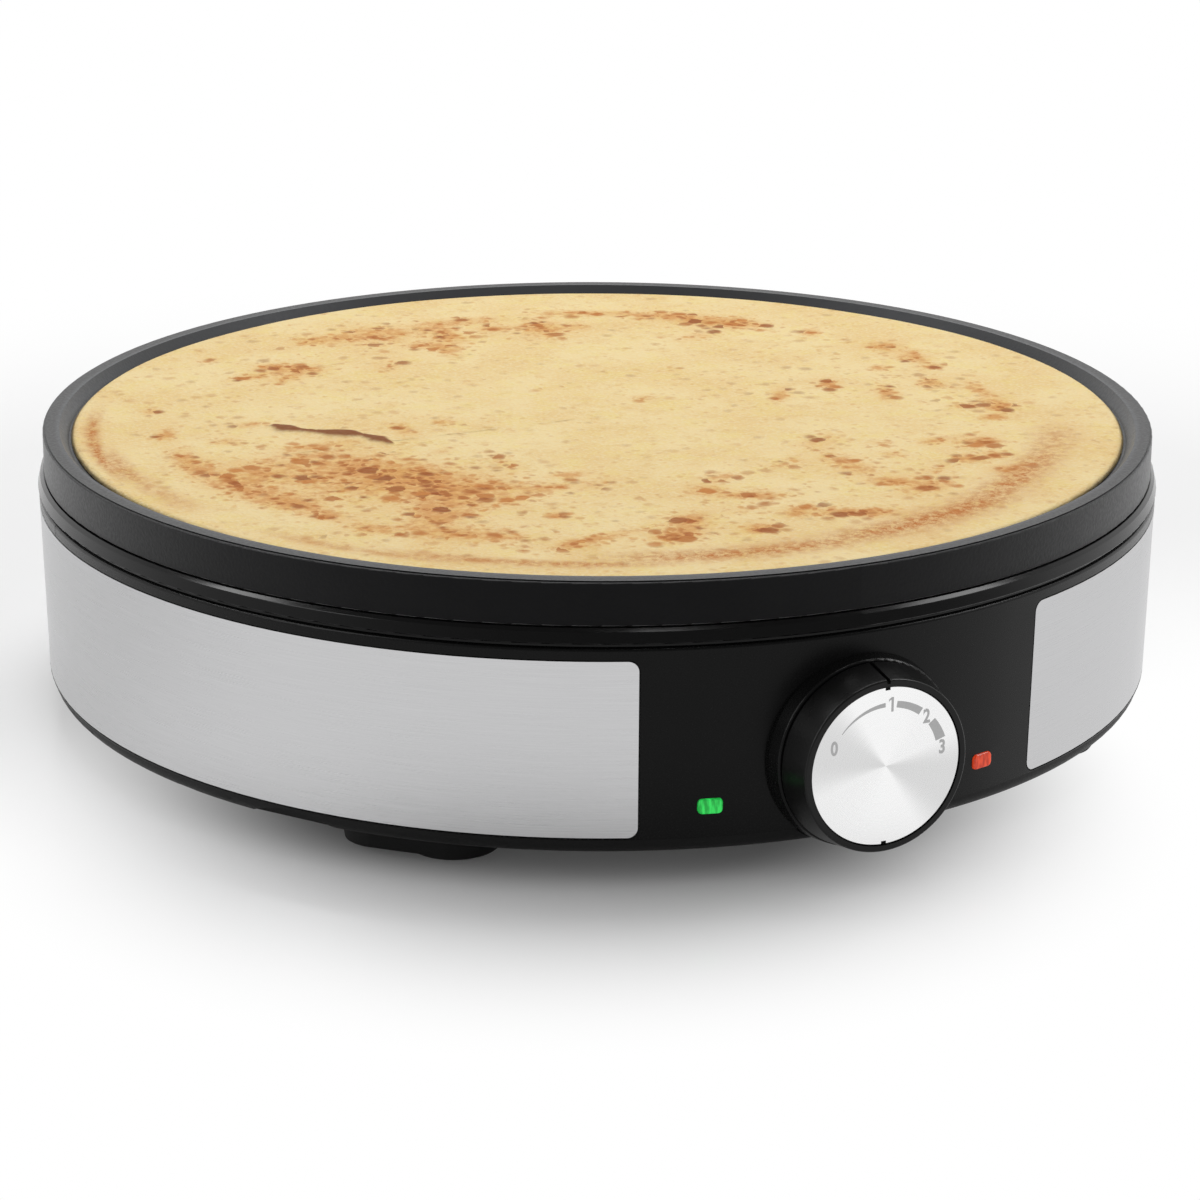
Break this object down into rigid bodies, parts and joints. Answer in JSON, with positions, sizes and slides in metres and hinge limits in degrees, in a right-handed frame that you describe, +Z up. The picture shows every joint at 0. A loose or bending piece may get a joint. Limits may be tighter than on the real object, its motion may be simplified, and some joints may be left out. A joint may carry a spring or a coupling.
{
  "type": "electric crepe maker",
  "caption": "Round countertop crepe maker: a cast baking plate with a crepe on it, on a low black housing with steel side panels and a front temperature dial.",
  "frame": {"origin": "on the baking plate's axis, at the level of the worktop that the feet stand on", "axes": "+Z up along the plate's axis; the dial faces -Y and the cord leaves towards +Y"},
  "size_m": [0.3136, 0.3297, 0.08],
  "materials": {
    "crepe": "matte",
    "nonstick": "satin",
    "element_steel": "satin",
    "ceramic_bead": "matte",
    "tinned_blade": "satin",
    "zinc_steel": "satin",
    "shield_sheet": "satin",
    "copper_bulb": "satin",
    "black_housing": "gloss",
    "steel_panel": "brushed",
    "tray_plastic": "matte",
    "foot_rubber": "matte",
    "switch_body": "matte",
    "brass_bush": "satin",
    "shaft_steel": "satin",
    "knob_black": "satin",
    "spun_metal": "spun",
    "green_lens": "gloss",
    "red_lens": "gloss",
    "lamp_glass": "clear",
    "white_moulding": "matte"
  },
  "bodies": {
    "housing": {"baking_plate": "nonstick", "heating_element": "element_steel", "element_beads": "ceramic_bead", "element_blades": "tinned_blade", "element_clips": "zinc_steel", "clip_screws": "zinc_steel", "heat_shield": "shield_sheet", "sensor_bulb": "copper_bulb", "bulb_saddles": "zinc_steel", "saddle_screws": "zinc_steel", "capillary_tube": "copper_bulb", "thermal_cutout": "switch_body", "cutout_screws": "zinc_steel", "front_housing": "black_housing", "rear_housing": "black_housing", "seam_screws": "zinc_steel", "trim_ring": "black_housing", "left_panel": "steel_panel", "right_panel": "steel_panel", "base_tray": "tray_plastic", "foot_pads": "foot_rubber", "tray_screws": "zinc_steel", "pillars": "zinc_steel", "plate_screws": "zinc_steel", "thermostat_bracket": "zinc_steel", "thermostat_bush": "brass_bush", "thermostat_body": "switch_body", "thermostat_screws": "zinc_steel", "green_lens": "green_lens", "red_lens": "red_lens", "lamp_holders": "white_moulding", "neon_lamps": "lamp_glass", "cord_clamp": "tray_plastic", "clamp_screws": "zinc_steel", "terminal_block": "white_moulding", "terminal_screws": "zinc_steel", "cord_gland": "tray_plastic"},
    "knob": {"knob_body": "knob_black", "knob_disc": "spun_metal", "knob_spring": "zinc_steel", "thermostat_shaft": "shaft_steel"},
    "crepe_sheet": {"crepe": "crepe"}
  },
  "joints": [
    {"name": "dial_turn", "type": "hinge", "parent": "housing", "child": "knob", "pos_m": [0, -0.16, 0.0321], "axis": [0, -1, 0], "range_deg": [-65, 80]},
    {"name": "crepe_lift", "type": "slide", "parent": "housing", "child": "crepe_sheet", "axis": [0, 0, 1], "range_m": [0, 0.05]}
  ]
}
